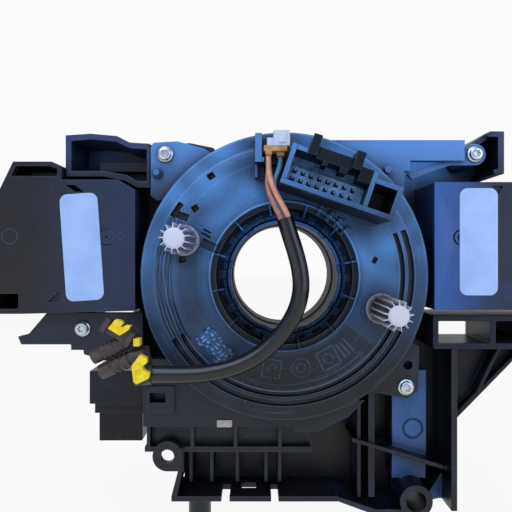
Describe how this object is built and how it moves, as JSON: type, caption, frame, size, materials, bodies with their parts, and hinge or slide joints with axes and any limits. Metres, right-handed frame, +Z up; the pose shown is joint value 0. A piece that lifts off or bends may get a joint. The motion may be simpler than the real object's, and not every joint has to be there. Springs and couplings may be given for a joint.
{
  "type": "combination stalk switch",
  "caption": "Steering-column combination switch: turning front disc with wheel connector, drive pins and airbag lead, stalk switches at both sides, on a moulded carrier.",
  "frame": {"origin": "on the steering axis, at the front face of the turning disc", "axes": "+X to the driver's right, +Y forward along the steering column, +Z up"},
  "size_m": [0.409, 0.079, 0.1848],
  "materials": {
    "carrier_plastic": "fine grained",
    "case_plastic": "satin",
    "rotor_plastic": "satin, lightly scuffed",
    "switch_plastic": "fine grained",
    "grip_plastic": "fine grained",
    "module_plastic": "smooth",
    "white_plastic": "satin",
    "yellow_plastic": "satin",
    "brown_plastic": "satin",
    "pink_insulation": "satin",
    "blue_insulation": "satin",
    "sheath": "gloss",
    "ribbon": "clear film",
    "label_film": "plain, unprinted",
    "board": "coated board",
    "zinc_steel": "zinc plated",
    "spring_steel": "bright",
    "tinned_brass": "tinned"
  },
  "bodies": {
    "body": {"carrier_bracket": "carrier_plastic", "column_collar": "carrier_plastic", "upper_pocket": "carrier_plastic", "right_hook": "carrier_plastic", "left_arm": "carrier_plastic", "lower_tray": "carrier_plastic", "right_channel": "carrier_plastic", "right_holder": "carrier_plastic", "stator_housing": "case_plastic", "stator_rear_cover": "case_plastic", "ribbon_coil": "ribbon", "angle_sensor": "board", "mounting_screws": "zinc_steel", "lower_post": "carrier_plastic", "left_switch_housing": "switch_plastic", "left_switch_cover": "switch_plastic", "left_contact_board": "board", "left_terminals": "tinned_brass", "right_switch_housing": "switch_plastic", "right_switch_cover": "switch_plastic", "right_contact_board": "board", "right_terminals": "tinned_brass", "left_label": "label_film", "right_label": "label_film", "module_housing": "module_plastic", "module_lid": "module_plastic", "module_board": "board", "module_terminals": "tinned_brass"},
    "rotor": {"rotor_disc": "rotor_plastic", "rotor_hub": "rotor_plastic", "angle_code_ring": "rotor_plastic", "connector_header": "rotor_plastic", "connector_terminals": "tinned_brass", "drive_pin_left": "white_plastic", "drive_pin_right": "white_plastic", "lead_plug": "white_plastic", "pink_wire_front": "pink_insulation", "pink_wire_back": "pink_insulation", "blue_wire": "blue_insulation", "lead_sheath": "sheath", "squib_plug_upper": "brown_plastic", "squib_plug_lower": "brown_plastic"},
    "upper_lock": {"squib_lock_upper": "yellow_plastic"},
    "lower_lock": {"squib_lock_lower": "yellow_plastic"},
    "left_pivot": {"left_pivot_yoke": "switch_plastic"},
    "left_stalk": {"left_lever": "grip_plastic", "left_grip": "grip_plastic", "left_detent_spring": "spring_steel", "left_button_spring": "spring_steel"},
    "left_plunger": {"left_detent_plunger": "white_plastic"},
    "left_button": {"left_end_button": "grip_plastic"},
    "right_pivot": {"right_pivot_yoke": "switch_plastic"},
    "right_stalk": {"right_lever": "grip_plastic", "right_grip_inner": "grip_plastic", "right_grip_outer": "grip_plastic", "right_detent_spring": "spring_steel", "right_button_spring": "spring_steel"},
    "right_plunger": {"right_detent_plunger": "white_plastic"},
    "right_button": {"right_end_button": "grip_plastic"},
    "right_dial": {"right_interval_dial": "grip_plastic"}
  },
  "joints": [
    {"name": "rotor_turn", "type": "hinge", "parent": "body", "child": "rotor", "pos_m": [0, 0, 0], "axis": [0, 1, 0], "range_deg": [-900, 900]},
    {"name": "upper_lock_pull", "type": "slide", "parent": "rotor", "child": "upper_lock", "axis": [0, -1, 0], "range_m": [0, 0.0025]},
    {"name": "lower_lock_pull", "type": "slide", "parent": "rotor", "child": "lower_lock", "axis": [0, -1, 0], "range_m": [0, 0.0025]},
    {"name": "left_signal", "type": "hinge", "parent": "body", "child": "left_pivot", "pos_m": [-0.0739, 0.015, 0.016], "axis": [0, 1, 0], "range_deg": [-8, 8]},
    {"name": "left_pull", "type": "hinge", "parent": "left_pivot", "child": "left_stalk", "pos_m": [-0.0739, 0.015, 0.016], "axis": [0, 0, 1], "range_deg": [-4, 5]},
    {"name": "left_plunger_press", "type": "slide", "parent": "left_stalk", "child": "left_plunger", "axis": [-1, 0, 0], "range_m": [0, 0.0012], "stiffness_N_per_m": 500, "springref_m": -0.001, "deforming": ["left_detent_spring"]},
    {"name": "left_button_press", "type": "slide", "parent": "left_stalk", "child": "left_button", "axis": [1, 0, 0], "range_m": [0, 0.0015], "stiffness_N_per_m": 800, "springref_m": -0.001, "deforming": ["left_button_spring"]},
    {"name": "right_wiper", "type": "hinge", "parent": "body", "child": "right_pivot", "pos_m": [0.0734, 0.015, 0.016], "axis": [0, 1, 0], "range_deg": [-6, 8]},
    {"name": "right_pull", "type": "hinge", "parent": "right_pivot", "child": "right_stalk", "pos_m": [0.0734, 0.015, 0.016], "axis": [0, 0, 1], "range_deg": [-5, 0], "stiffness_Nm_per_rad": 1, "springref_deg": 2.86},
    {"name": "right_plunger_press", "type": "slide", "parent": "right_stalk", "child": "right_plunger", "axis": [1, 0, 0], "range_m": [0, 0.0012], "stiffness_N_per_m": 500, "springref_m": -0.001, "deforming": ["right_detent_spring"]},
    {"name": "right_button_press", "type": "slide", "parent": "right_stalk", "child": "right_button", "axis": [-1, 0, 0], "range_m": [0, 0.0015], "stiffness_N_per_m": 800, "springref_m": -0.001, "deforming": ["right_button_spring"]},
    {"name": "right_dial_turn", "type": "hinge", "parent": "right_stalk", "child": "right_dial", "pos_m": [0.155, 0.015, 0.016], "axis": [1, 0, 0], "range_deg": [-50, 50]}
  ]
}
